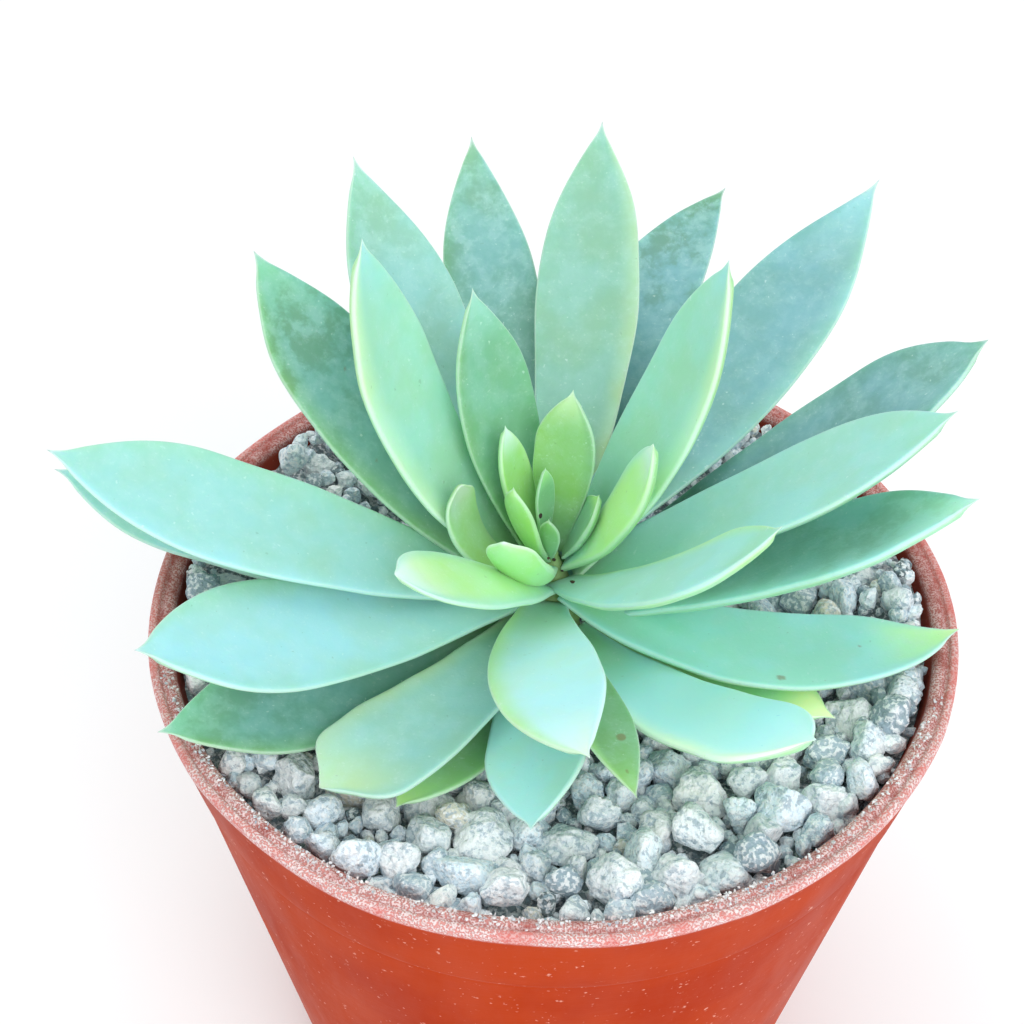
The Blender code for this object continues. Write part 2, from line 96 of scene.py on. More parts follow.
camera_data = bpy.data.cameras.new("camera")
camera_data.lens = 56.25
camera_data.sensor_width = 36.0
camera_data.clip_start = 0.01
camera = bpy.data.objects.new("camera", camera_data)
bpy.context.scene.collection.objects.link(camera)
camera_back = Vector(CAMERA_RIGHT).cross(Vector(CAMERA_UP))
camera_axes = Matrix((CAMERA_RIGHT, CAMERA_UP, camera_back)).transposed()
camera.rotation_euler = camera_axes.to_euler()
camera.location = CAMERA_PLACE
bpy.context.scene.camera = camera

# ---------------------------------------------------------------------------
# The pot: a thin-walled nursery pot injection-moulded in terracotta-coloured
# polypropylene, with a collar, a grooved lip and six drain holes. It is scuffed and
# powdered with dust from the grit, most of all on the lip.

MM = 0.001
pot_low, pot_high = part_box("pot")
POT_HEIGHT = pot_high.z
RIM_RADIUS = pot_high.x
COLLAR_HEIGHT = 11 * MM
COLLAR_BOTTOM = POT_HEIGHT - COLLAR_HEIGHT
COLLAR_DRAFT = 0.2
WALL_DRAFT = 0.148
WALL = 2.2 * MM
FLOOR = 2 * MM
DRAIN_RING = 18 * MM
DRAIN_RADIUS = 3 * MM
SEGMENTS_PER_HOLE = 48
RING_SEGMENTS = 6 * SEGMENTS_PER_HOLE


def waves(points, size, seed):
    """Smooth noise of about unit size: the sum of sine waves that run in random
    directions, with lengths spread about the given size."""
    rng = np.random.default_rng(seed)
    count = 24
    heading = rng.normal(size=(count, 3))
    heading /= np.linalg.norm(heading, axis=1, keepdims=True)
    pitch = 2 * np.pi / (size * rng.uniform(0.6, 1.8, count))
    phase = rng.uniform(0, 2 * np.pi, count)
    swing = np.sin(points @ (heading * pitch[:, None]).T + phase)
    return swing.sum(axis=-1) / math.sqrt(count / 2)


def ease(value, low, high):
    """A smooth step that climbs from 0 at low to 1 at high."""
    share = np.clip((value - low) / (high - low), 0, 1)
    return share * share * (3 - 2 * share)


def soften(corners, passes):
    """Rounds a line by cutting each of its corners at a quarter and three quarters of
    the way along its sides, again and again, with both ends kept."""
    line = np.array(corners, float)
    for _ in range(passes):
        start, end = line[:-1], line[1:]
        cut = np.stack([0.75 * start + 0.25 * end, 0.25 * start + 0.75 * end], axis=1)
        line = np.concatenate([line[:1], cut.reshape(-1, 2)[1:-1], line[-1:]])
    return line


def turned_rings(line, turns):
    """A profile carried round Z: radius times cosine, radius times sine, height."""
    radius, height = line[:, 0, None], line[:, 1, None]
    return np.stack(
        [radius * np.cos(turns), radius * np.sin(turns), height + 0 * turns], axis=-1
    )


def grid_faces(rows, columns, first=0):
    """Four-cornered faces between neighbours on a grid of points that wraps round."""
    row, column = np.meshgrid(np.arange(rows - 1), np.arange(columns), indexing="ij")
    after = (column + 1) % columns
    here = row * columns
    above = here + columns
    faces = np.stack([here + column, here + after, above + after, above + column], -1)
    return faces.reshape(-1, 4) + first


def piece_from(name, points, faces, finish, smooth=True, merge=0.0):
    """A mesh object from arrays of points and faces, its doubles merged on request."""
    mesh = bpy.data.meshes.new(name)
    mesh.from_pydata(points.reshape(-1, 3), [], [list(face) for face in faces])
    mesh.update()
    if merge:
        bm = bmesh.new()
        bm.from_mesh(mesh)
        bmesh.ops.remove_doubles(bm, verts=bm.verts, dist=merge)
        bmesh.ops.recalc_face_normals(bm, faces=bm.faces)
        bm.to_mesh(mesh)
        bm.free()
    mesh.polygons.foreach_set("use_smooth", [smooth] * len(mesh.polygons))
    mesh.materials.append(finish)
    piece = bpy.data.objects.new(name, mesh)
    bpy.context.scene.collection.objects.link(piece)
    return piece


def wire(tree, kind, sockets, **settings):
    """Adds a shader node, sets it, and links or fills its sockets."""
    node = tree.nodes.new("ShaderNode" + kind)
    for key, value in settings.items():
        setattr(node, key, value)
    for key, value in sockets.items():
        if isinstance(value, bpy.types.NodeSocket):
            tree.links.new(value, node.inputs[key])
        else:
            node.inputs[key].default_value = value
    return node


def finish_start(name, **constants):
    """A new Principled finish, its whole-surface numbers set, with Object coordinates."""
    finish = bpy.data.materials.new(name)
    finish.use_nodes = True
    tree = finish.node_tree
    shader = tree.nodes["Principled BSDF"]
    for key, value in constants.items():
        shader.inputs[key.replace("_", " ")].default_value = value
    coords = wire(tree, "TexCoord", {}).outputs["Object"]
    return finish, tree, shader, coords


def grain(tree, coords, scale, detail=4.0, rough=0.55, stretch=None, distortion=0.0):
    """Fractal noise, stretched along the axes on request."""
    if stretch is not None:
        coords = wire(tree, "Mapping", {"Vector": coords, "Scale": stretch}).outputs[0]
    sockets = {
        "Vector": coords, "Scale": scale, "Detail": detail, "Roughness": rough,
        "Distortion": distortion,
    }
    return wire(tree, "TexNoise", sockets).outputs[0]


def band(tree, value, low, high, bottom=0.0, top=1.0):
    """Maps value from low..high to bottom..top along a smooth step."""
    sockets = {"Value": value, "From Min": low, "From Max": high, "To Min": bottom, "To Max": top}
    return wire(tree, "MapRange", sockets, interpolation_type="SMOOTHSTEP").outputs[0]


def times(tree, first, second, operation="MULTIPLY"):
    """The product of two shader values, or what another operation makes of them."""
    return wire(tree, "Math", {0: first, 1: second}, operation=operation).outputs[0]


def over(tree, share, below, above, blend="MIX"):
    """Lays one colour over another by a share."""
    sockets = {0: share, 6: below, 7: above}
    return wire(tree, "Mix", sockets, data_type="RGBA", blend_type=blend).outputs[2]


def relief(tree, height, depth, strength=1.0, normal=None):
    """A bump of the given depth in metres."""
    sockets = {"Height": height, "Distance": depth, "Strength": strength}
    if normal is not None:
        sockets["Normal"] = normal
    return wire(tree, "Bump", sockets).outputs[0]


def terracotta_plastic():
    """Orange-red plastic, darker and browner on the lip's inner band. Down the bore below the
    lip it is darkened further to dark brown, as painted shade inside the pot. White dust
    lies on the lip as fine grains that crowd in the groove, a pinkish film and a few specks
    on the collar, and long faint scuffs round the wall."""
    finish, tree, shader, coords = finish_start("terracotta_plastic", Metallic=0.0)
    shader.inputs["Specular IOR Level"].default_value = 0.03
    shader.inputs["Subsurface Weight"].default_value = 0.05
    shader.inputs["Subsurface Radius"].default_value = (1.0, 0.3, 0.15)
    shader.inputs["Subsurface Scale"].default_value = 1.0 * MM
    axes = wire(tree, "SeparateXYZ", {"Vector": coords}).outputs
    height = axes[2]
    flat = wire(tree, "CombineXYZ", {0: axes[0], 1: axes[1]}).outputs[0]
    radius = wire(tree, "VectorMath", {0: flat}, operation="LENGTH").outputs["Value"]
    pigment = grain(tree, coords, 60, 4.0)
    colour = over(
        tree, band(tree, pigment, 0.35, 0.7), (0.40, 0.029, 0.001, 1), (0.47, 0.044, 0.003, 1)
    )
    smear = grain(tree, coords, 110, 6.0, 0.66, stretch=(1.0, 1.0, 0.30))
    patches = band(tree, grain(tree, coords, 22), 0.42, 0.66)
    film = times(tree, band(tree, smear, 0.50, 0.85), patches)
    side = band(tree, axes[1], -30 * MM, 20 * MM, 0.15, 0.8)
    colour = over(tree, times(tree, film, side), colour, (0.66, 0.27, 0.17, 1))
    grains = grain(tree, coords, 5200, 2.0, 0.5)
    coarse = grain(tree, coords, 1700, 2.0, 0.5)
    crowd = grain(tree, coords, 420, 3.0, 0.55)
    specks = times(tree, band(tree, coarse, 0.64, 0.72), band(tree, crowd, 0.46, 0.62))
    colour = over(tree, times(tree, specks, 0.6), colour, (0.88, 0.52, 0.42, 1))
    on_lip = band(tree, height, POT_HEIGHT - 1.6 * MM, POT_HEIGHT - 0.8 * MM)
    inside = band(tree, radius, RIM_RADIUS - 0.9 * MM, RIM_RADIUS - 1.4 * MM)
    lip_base = over(tree, inside, (0.66, 0.16, 0.14, 1), (0.30, 0.050, 0.035, 1))
    colour = over(tree, on_lip, colour, lip_base)
    salt = times(tree, band(tree, grains, 0.44, 0.56), band(tree, crowd, 0.36, 0.54, 0.35))
    front = band(tree, axes[1], 10 * MM, -38 * MM, 0.4, 1.0)
    rubbing = times(tree, times(tree, on_lip, front), band(tree, crowd, 0.25, 0.6, 0.15, 0.8))
    colour = over(tree, rubbing, colour, (0.78, 0.36, 0.33, 1))
    salt = times(tree, times(tree, salt, on_lip), front)
    colour = over(tree, salt, colour, (0.92, 0.74, 0.73, 1))
    # Painted shade: down the bore, below the lip's inner band, the plastic is darkened to a dark brown
    # that stands for the shade inside the pot.
    bore = times(
        tree,
        band(tree, radius, RIM_RADIUS - 2.2 * MM, RIM_RADIUS - 2.7 * MM),
        band(tree, height, POT_HEIGHT - 0.5 * MM, POT_HEIGHT - 1.5 * MM),
    )
    bore_shade_strength = band(tree, height, COLLAR_BOTTOM, COLLAR_BOTTOM + 1.0 * MM, 0.0, 0.75)
    colour = over(tree, times(tree, bore, bore_shade_strength), colour, (0.20, 0.038, 0.028, 1))
    tree.links.new(colour, shader.inputs["Base Color"])
    dull = band(tree, smear, 0.3, 0.8, 0.36, 0.58)
    tree.links.new(times(tree, dull, times(tree, salt, 0.4), "ADD"), shader.inputs["Roughness"])
    scuff = grain(tree, coords, 260, 6.0, 0.65, stretch=(1.0, 1.0, 3.0))
    bump = relief(tree, scuff, 0.08 * MM, 0.35)
    bump = relief(tree, salt, 0.10 * MM, 0.9, bump)
    tree.links.new(bump, shader.inputs["Normal"])
    return finish


def pot_wall():
    """The shell between the drain plate's two faces: up the outside, over the collar and
    the grooved lip, and down the bore, as a rounded profile carried round Z. The lip
    wanders in and out by a tenth of a millimetre, as thin mouldings do."""
    under = RIM_RADIUS - COLLAR_DRAFT * COLLAR_HEIGHT
    foot = under - WALL_DRAFT * COLLAR_BOTTOM
    outside = [
        (foot, 0), (foot + 0.02 * MM, 0.9 * MM), (under - 0.12 * MM, COLLAR_BOTTOM - 0.9 * MM),
        (under - 0.05 * MM, COLLAR_BOTTOM - 0.1 * MM), (under + 0.22 * MM, COLLAR_BOTTOM + 0.25 * MM),
        (RIM_RADIUS - 0.28 * MM, POT_HEIGHT - 1.5 * MM), (RIM_RADIUS, POT_HEIGHT - 1.0 * MM),
        (RIM_RADIUS, POT_HEIGHT - 0.1 * MM), (RIM_RADIUS - 0.8 * MM, POT_HEIGHT - 0.02 * MM),
        (RIM_RADIUS - 1.0 * MM, POT_HEIGHT - 0.5 * MM), (RIM_RADIUS - 1.3 * MM, POT_HEIGHT - 0.5 * MM),
        (RIM_RADIUS - 1.5 * MM, POT_HEIGHT - 0.2 * MM), (RIM_RADIUS - 2.2 * MM, POT_HEIGHT - 0.3 * MM),
        (RIM_RADIUS - 2.65 * MM, POT_HEIGHT - 0.9 * MM), (under - WALL, COLLAR_BOTTOM),
        (foot - WALL + WALL_DRAFT * FLOOR, FLOOR),
    ]
    line = soften(outside, 4)
    long_way = np.concatenate([[0], np.cumsum(np.linalg.norm(np.diff(line, axis=0), axis=1))])
    keep = np.concatenate([[True], np.diff(long_way) > 1e-7])
    line, long_way = line[keep], long_way[keep]
    extra = np.arange(1.5 * MM, long_way[-1], 1.5 * MM)
    stations = np.unique(np.concatenate([long_way, extra]))
    line = np.stack([np.interp(stations, long_way, line[:, k]) for k in (0, 1)], axis=1)
    turns = 2 * np.pi * np.arange(RING_SEGMENTS) / RING_SEGMENTS
    points = turned_rings(line, turns)
    near_rim = ease(points[..., 2], POT_HEIGHT - 12 * MM, POT_HEIGHT)
    wander = waves(points * (1, 1, 0), 30 * MM, 3) * near_rim * 0.10 * MM
    points[..., :2] *= (1 - np.abs(wander) / RIM_RADIUS)[..., None]
    points[..., 2] -= np.abs(waves(points, 22 * MM, 5)) * near_rim * 0.12 * MM
    return points


def drain_plate(outer, height):
    """One face of the pierced floor. Each sixth is lofted from its drain hole's circle to
    the sixth's own outline: along one radius, round the foot and back down the other."""
    along = np.linspace(0, 1, 25)[:-1]
    arc = (np.arange(SEGMENTS_PER_HOLE) / SEGMENTS_PER_HOLE - 0.5) * np.pi / 3
    edge = np.exp(1j * np.array([-np.pi / 6, np.pi / 6]))
    outline = np.concatenate(
        [along * edge[0] * outer, outer * np.exp(1j * arc), (1 - along) * edge[1] * outer]
    )
    to_hole = outline - DRAIN_RING
    hole = DRAIN_RING + DRAIN_RADIUS * to_hole / np.abs(to_hole)
    share = np.linspace(0, 1, 7)[:, None]
    sixth = hole + (outline - hole) * share
    sixths = sixth[None] * np.exp(1j * np.pi / 3 * np.arange(6))[:, None, None]
    return np.stack([sixths.real, sixths.imag, np.full(sixths.shape, height)], axis=-1)


def build_pot():
    """The wall closed by the drain plate's two faces and the short bores of its holes,
    with the doubles along their shared edges merged."""
    wall = pot_wall()
    bottom = drain_plate(np.linalg.norm(wall[0, 0, :2]), 0.0)
    top = drain_plate(np.linalg.norm(wall[-1, 0, :2]), FLOOR)
    blocks = [wall.reshape(-1, 3)]
    faces = [grid_faces(len(wall), RING_SEGMENTS)]
    count = wall.shape[0] * RING_SEGMENTS
    for plate in (bottom, top):
        for sixth in plate:
            blocks.append(sixth.reshape(-1, 3))
            faces.append(grid_faces(*sixth.shape[:2], first=count))
            count += sixth.shape[0] * sixth.shape[1]
    for low, high in zip(bottom[:, 0], top[:, 0]):
        blocks.append(np.stack([low, high]).reshape(-1, 3))
        faces.append(grid_faces(2, len(low), first=count))
        count += 2 * len(low)
    finish = terracotta_plastic()
    points = np.concatenate(blocks)
    shell = piece_from("pot_shell", points, np.concatenate(faces), finish, merge=1e-6)
    shell.data.set_sharp_from_angle(angle=math.radians(55))
    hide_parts("pot")
    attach(shell, "root")


build_pot()

# ---------------------------------------------------------------------------
# The stem and root: a short fleshy column, pale green turning corky brown below, ringed
# by the scars of leaves that have dropped. The root goes down into the soil.

STEM_RADIUS = 3.2 * MM
STEM_TAPER = 0.42
STEM_TIP_RADIUS = 0.5 * MM
STEM_TOP = 6.2 * MM
ROOT_TIP = POT_HEIGHT - 43 * MM
GRIT_TOP = POT_HEIGHT - 8 * MM


def stem_radius(height):
    """The stem's radius at a height over the rim: a column, then an even taper."""
    tapered = STEM_RADIUS - STEM_TAPER * np.maximum(height + 1 * MM, 0)
    return np.clip(tapered, STEM_TIP_RADIUS, STEM_RADIUS)


def capped_faces(rows, columns):
    """Faces of a closed skin: a grid that wraps round, then a fan to the point at each
    end. The two end points come last in the list of points."""
    body = grid_faces(rows, columns)
    column = np.arange(columns)
    after = (column + 1) % columns
    first, last = rows * columns, rows * columns + 1
    top = (rows - 1) * columns
    start = np.stack([after, column, np.full(columns, first)], -1)
    finish = np.stack([top + column, top + after, np.full(columns, last)], -1)
    return list(body) + list(start) + list(finish)


def stem_skin():
    """Corky brown at the foot and olive green above, with fine wrinkles round it."""
    finish, tree, shader, coords = finish_start("stem_skin", Roughness=0.62)
    height = wire(tree, "SeparateXYZ", {"Vector": coords}).outputs[2]
    rings = grain(tree, coords, 260, 5.0, 0.6, stretch=(1.0, 1.0, 4.0))
    green = over(tree, rings, (0.26, 0.42, 0.14, 1), (0.40, 0.58, 0.26, 1))
    cork = over(tree, rings, (0.16, 0.10, 0.05, 1), (0.34, 0.25, 0.15, 1))
    colour = over(tree, band(tree, height, GRIT_TOP, GRIT_TOP + 5 * MM), cork, green)
    tree.links.new(colour, shader.inputs["Base Color"])
    tree.links.new(relief(tree, rings, 0.3 * MM), shader.inputs["Normal"])
    return finish


def build_stem():
    """A turned column whose skin swells into low scars: the radius grows by a tenth of
    a rounded saw wave that climbs in a spiral."""
    rows, columns = 120, 48
    height = np.linspace(ROOT_TIP, POT_HEIGHT + STEM_TOP, rows)
    radius = stem_radius(height - POT_HEIGHT)
    grit_foot = POT_HEIGHT - 17 * MM
    root = np.clip((height - ROOT_TIP) / (grit_foot - ROOT_TIP), 0, 1)
    radius *= 0.25 + 0.75 * root
    radius[-1] *= 0.5
    turns = 2 * np.pi * np.arange(columns) / columns
    points = turned_rings(np.stack([radius, height], axis=1), turns)
    spiral = np.sin(height[:, None] * 2 * np.pi / (2.2 * MM) + 3 * turns)
    points[..., :2] *= (1 - 0.035 * (1 + spiral))[..., None]
    ends = np.array([(0, 0, height[0]), (0, 0, height[-1])])
    points = np.concatenate([points.reshape(-1, 3), ends])
    column = piece_from("stem_column", points, capped_faces(rows, columns), stem_skin())
    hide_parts("stem_and_root")
    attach(column, "root")


build_stem()

# ---------------------------------------------------------------------------
# The lower leaves: the oldest, lying out low over the grit beneath the others. Each leaf
# is one fleshy blade, flat above and full below, that grows straight from the stem and
# ends in a small hard point. These are shaded and greener, and some are blemished.

LEAF_CLEARANCE = 0.35 * MM
GROWN = {"thickness": 0.19, "base": 0.42, "frost": 0.3}
YOUNG = {"thickness": 0.28, "base": 0.30, "frost": 0.1}
ALONG_STEPS = 96
ROUND_STEPS = 64

# Skin colours, as red, green and blue out of 255: the waxy blues of sunlit skin, the
# clear greens where the wax is rubbed off, and the yellows of thin young flesh, which on
# the margins are partly painted glow of light shining through the thin flesh.
WAX = {
    "frost": (186, 236, 240), "pale_blue": (168, 228, 234), "aqua": (160, 220, 212),
    "mint": (158, 218, 192), "sea": (140, 204, 196), "slate": (130, 190, 194),
    "teal": (116, 176, 164), "jade": (128, 192, 154), "leaf": (128, 182, 126),
    "moss": (112, 157, 98), "apple": (150, 206, 116), "lime": (176, 230, 146),
    "lemon": (206, 246, 196), "straw": (222, 240, 160), "cream": (222, 248, 232),
}


def wax(name):
    """One skin colour as linear light: each channel over 255, to the power 2.2."""
    return (np.array(WAX[name]) / 255.0) ** 2.2


def leaf_line(leaf):
    """The leaf's midline and its sideways and upward directions. The rise and the turn
    change evenly along it, so the line is the running sum of its own directions; the
    roll comes in along the first third."""
    share = np.linspace(0, 1, ALONG_STEPS)
    rise = np.radians(leaf["rise"] + leaf["lift"] * share)
    turn = np.radians(leaf["turn"] + leaf["sweep"] * share)
    flat = np.stack([np.cos(turn), np.sin(turn), 0 * turn], -1)
    ahead = flat * np.cos(rise)[:, None] + np.array([0, 0, 1]) * np.sin(rise)[:, None]
    step = leaf["length"] * MM / (ALONG_STEPS - 1)
    height = leaf["height"] * MM
    seat = stem_radius(height) + LEAF_CLEARANCE
    start = np.array([seat * flat[0, 0], seat * flat[0, 1], POT_HEIGHT + height])
    run = np.cumsum((ahead[:-1] + ahead[1:]) / 2 * step, axis=0)
    line = start + np.concatenate([np.zeros((1, 3)), run])
    level = np.stack([-np.sin(turn), np.cos(turn), 0 * turn], -1)
    steep = np.cross(ahead, level)
    roll = np.radians(leaf["roll"]) * np.minimum(share / 0.35, 1)
    side = level * np.cos(roll)[:, None] + steep * np.sin(roll)[:, None]
    return share, line, side, np.cross(ahead, side), ahead


def leaf_widths(share, leaf, build):
    """Half the width and the thickness along the leaf. The width swells as a sine up to
    the widest place, then closes as a cosine, and pinches in just short of the point.
    The thickness swells over the first third and thins over the second half."""
    widest = leaf["widest"]
    swell = np.sin(np.pi / 2 * np.minimum(share / widest, 1)) ** 1.3
    past = np.clip((share - widest) / (1 - widest), 0, 1)
    closing = np.maximum(np.cos(np.pi / 2 * past**1.35), 0) ** leaf["point"]
    shape = np.where(share < widest, build["base"] + (1 - build["base"]) * swell, closing)
    left = (1 - share) * leaf["length"]
    neck = 0.09 * leaf["width"]
    pinch = 1 - 0.22 * np.exp(-((left - neck) / neck) ** 2) * (share < 0.999)
    half = leaf["width"] / 2 * MM * shape * pinch
    early = 0.42 + 0.58 * np.sin(np.pi / 2 * np.minimum(share / 0.35, 1))
    late = 1 - 0.7 * np.clip((share - 0.5) / 0.5, 0, 1) ** 2
    edge = np.minimum(1, half / (leaf["width"] * MM / 8))
    return half, build["thickness"] * leaf["width"] * MM * early * late * edge


def leaf_skin_points(leaf, build, seed):
    """The blade as a closed skin. Across it runs cosine of an angle. The upper face is a
    shallow channel whose edges are rounded off by a quarter circle, and the underside is
    a full belly; some leaves are domed instead. Slow waves of a twentieth of a millimetre
    and a gently wavy outline keep it from looking turned. Also gives, for each point, its
    place across and along the leaf, which face it is on and how far in from the margin."""
    share, line, side, up, ahead = leaf_line(leaf)
    half, thick = leaf_widths(share, leaf, build)
    angle = 2 * np.pi * np.arange(ROUND_STEPS) / ROUND_STEPS
    across = np.cos(angle)
    upper = np.arange(ROUND_STEPS) <= ROUND_STEPS // 2
    rounding = np.minimum(0.30 * thick, 0.40 * MM)[:, None]
    room = half[:, None] * (1 - np.abs(across))
    over_edge = np.clip(1 - room / np.maximum(rounding, 1e-7), 0, 1)
    fall = rounding * (1 - np.sqrt(1 - over_edge**2))
    dome = leaf.get("dome", 0) * half * np.sin(np.pi * np.minimum(share + 0.15, 1))
    channel = 0.12 * half[:, None] * across**2 + dome[:, None] * (1 - across**2) * upper
    belly = rounding + (thick[:, None] - rounding) * (1 - across**2) ** 0.6
    rise = channel - np.where(upper, fall, belly)
    one_side = np.stack([share * 9, across[0] + 0 * share, 0 * share], -1)
    other_side = np.stack([share * 9, 0 * share, 7 + 0 * share], -1)
    wave = 1 + 0.022 * waves(one_side, 3.0, seed)
    wave_other = 1 + 0.022 * waves(other_side, 3.0, seed + 50)
    bend = np.where(across > 0, wave[:, None], wave_other[:, None]) ** np.abs(across)
    points = (
        line[:, None]
        + side[:, None] * (half[:, None] * across * bend)[..., None]
        + up[:, None] * rise[..., None]
    )
    lump = waves(points, 9 * MM, seed) * 0.05 * MM * np.minimum(half / half.max() * 2, 1)[:, None]
    points += up[:, None] * lump[..., None]
    ends = np.stack([points[0].mean(axis=0), line[-1] + ahead[-1] * 0.1 * MM])
    places = np.stack(
        [np.broadcast_to(across, rise.shape), np.broadcast_to(share[:, None], rise.shape),
         np.broadcast_to(upper * 1.0, rise.shape), room / MM], axis=-1
    ).reshape(-1, 4)
    places = np.concatenate([places, [(0, 0, 0, 1), (0, 1, 1, 0)]])
    return np.concatenate([points[:-1].reshape(-1, 3), ends]), np.delete(
        places, np.s_[(ALONG_STEPS - 1) * ROUND_STEPS : ALONG_STEPS * ROUND_STEPS], axis=0
    )


def leaf_paint(leaf, places):
    """Each point's skin colour: the base colour eases into the blade's and then into the
    tip's, each side margin leans to its own colour, a yellow one being partly painted glow
    of light through the thin flesh, and the belly is greener."""
    across, along, face, _ = places.T[..., None]
    root, blade, tip, left, right, belly = (wax(name) for name in leaf["skin"].split())
    colour = root + (blade - root) * ease(along, 0.05, 0.42)
    colour = colour + (tip - colour) * ease(along, leaf.get("tip_from", 0.72), 0.99)
    # Margin colours: where they are yellow, they are partly painted glow, light shining through the thin
    # edge of the flesh.
    reach = leaf.get("margin", 0.5)
    colour = colour + (left - colour) * ease(across, 1 - reach, 1.05) * 0.85
    colour = colour + (right - colour) * ease(-across, 1 - reach, 1.05) * 0.85
    return np.where(face > 0.5, colour, colour + (belly - colour) * 0.8) * leaf.get("bloom", 1.0)


def leaf_skin(name, roughness, glow, wetness):
    """Waxy leaf skin. Clouds of bloom drift over the painted colour, thick wax turns it
    frosty and rubbed patches show olive; fine pale flecks and a thin pale margin come
    last, and the whitish points come from the painted colour. Light goes a few millimetres into the
    flesh."""
    finish, tree, shader, coords = finish_start(name, Metallic=0.0)
    shader.inputs["Specular IOR Level"].default_value = wetness
    shader.inputs["Subsurface Weight"].default_value = glow
    shader.inputs["Subsurface Radius"].default_value = (0.55, 1.0, 0.45)
    shader.inputs["Subsurface Scale"].default_value = 2.6 * MM
    shader.inputs["Sheen Weight"].default_value = 0.18
    shader.inputs["Sheen Roughness"].default_value = 0.45
    shader.inputs["Sheen Tint"].default_value = (0.82, 1.0, 0.98, 1)
    paint = wire(tree, "Attribute", {}, attribute_name="skin_paint").outputs["Color"]
    marks = wire(tree, "Attribute", {}, attribute_name="skin_marks").outputs
    parts = wire(tree, "SeparateColor", {"Color": marks["Color"]})
    frost, rubbed, edge = parts.outputs[0], parts.outputs[1], parts.outputs[2]
    cloud = grain(tree, coords, 150, 3.0, 0.5)
    drift = grain(tree, coords, 520, 6.0, 0.66, distortion=0.2)
    fine = grain(tree, coords, 2600, 3.0, 0.6)
    flecks = grain(tree, coords, 1500, 2.0, 0.5)
    cool = over(tree, 1.0, paint, (0.94, 1.0, 1.05, 1), "MULTIPLY")
    warm = over(tree, 1.0, paint, (1.02, 0.98, 0.90, 1), "MULTIPLY")
    colour = over(tree, band(tree, cloud, 0.34, 0.66), warm, cool)
    mottle = band(tree, times(tree, drift, cloud, "ADD"), 0.75, 1.25)
    colour = over(tree, times(tree, mottle, 0.12), colour, (0.66, 0.90, 0.88, 1))
    veil = times(tree, band(tree, drift, 0.44, 0.66), frost)
    colour = over(tree, times(tree, veil, 0.30), colour, (0.48, 0.74, 0.74, 1))
    bare = times(tree, band(tree, times(tree, drift, cloud, "ADD"), 1.04, 0.84), rubbed)
    colour = over(tree, times(tree, bare, 0.36), colour, (0.13, 0.25, 0.10, 1))
    powder = times(tree, band(tree, fine, 0.56, 0.70), band(tree, drift, 0.40, 0.62))
    colour = over(tree, times(tree, powder, 0.14), colour, (0.86, 1.0, 0.98, 1))
    spots = times(tree, band(tree, flecks, 0.71, 0.76), 0.30)
    colour = over(tree, spots, colour, (0.80, 0.96, 0.93, 1))
    pits = times(tree, band(tree, flecks, 0.27, 0.24), 0.22)
    colour = over(tree, pits, colour, (0.12, 0.24, 0.12, 1))
    rim = band(tree, edge, 0.028, 0.006, 0.0, 0.42)
    colour = over(tree, rim, colour, (0.70, 0.92, 0.74, 1))
    scar = band(tree, times(tree, marks["Alpha"], drift), 0.20, 0.50, 0.0, 0.6)
    colour = over(tree, scar, colour, (0.24, 0.15, 0.05, 1))
    tree.links.new(colour, shader.inputs["Base Color"])
    dull = band(tree, drift, 0.3, 0.7, roughness - 0.07, roughness + 0.1)
    tree.links.new(dull, shader.inputs["Roughness"])
    bump = relief(tree, fine, 0.035 * MM, 0.6)
    bump = relief(tree, drift, 0.10 * MM, 0.45, bump)
    tree.links.new(bump, shader.inputs["Normal"])
    return finish


# How each leaf lies. The turn, rise, lift, sweep and roll are in degrees, the length,
# width and height over the rim in millimetres. Then comes how it looks: the skin colours
# of its root, blade, tip, left margin, right margin and belly, then shares.
LEAF_COLUMNS = "turn rise lift sweep roll length width widest point height".split()
leaf_undersides = []


def store_colours(piece, name, rows):
    """Keeps a row of red, green, blue and alpha for each point of a piece."""
    layer = piece.data.attributes.new(name, "FLOAT_COLOR", "POINT")
    layer.data.foreach_set("color", rows.ravel())


def build_leaves(group, rows, build, finish):
    """Grows each leaf of a group from its row: how it lies, then how its skin looks. Frost
    and rubbing gather toward the tip, and each scar fades out from its own spot."""
    for order, (numbers, look) in enumerate(rows):
        node = f"{group}_leaf_{order + 1}"
        leaf = dict(zip(LEAF_COLUMNS, numbers)) | look
        seed = sum(map(ord, node)) + 7 * order
        points, places = leaf_skin_points(leaf, build, seed)
        faces = capped_faces(ALONG_STEPS - 1, ROUND_STEPS)
        blade = piece_from(node + "_blade", points, faces, finish)
        colour = np.concatenate([leaf_paint(leaf, places), np.ones((len(places), 1))], axis=1)
        store_colours(blade, "skin_paint", colour)
        across, along, face, room = places.T
        toward_tip = ease(along, 0.35, 0.85)
        frost = leaf.get("frost", build["frost"]) * (0.35 + 0.65 * toward_tip)
        rubbed = leaf.get("rubbed", 0.0) * toward_tip
        edge = np.minimum(room / 8, 1)
        scars = np.zeros_like(edge)
        for scar_along, scar_across, scar_size in leaf.get("scars", []):
            away_along = (along - scar_along) * leaf["length"]
            away_across = (across - scar_across) * leaf["width"] / 2
            away = np.hypot(away_along, away_across) / scar_size
            scars = np.maximum(scars, ease(away, 1.2, 0.3) * face)
        store_colours(blade, "skin_marks", np.stack([frost, rubbed, edge, scars], axis=1))
        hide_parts(node)
        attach(blade, "root")
        leaf_undersides.append(points[:-2].reshape(-1, ROUND_STEPS, 3)[::3, ::4].reshape(-1, 3))


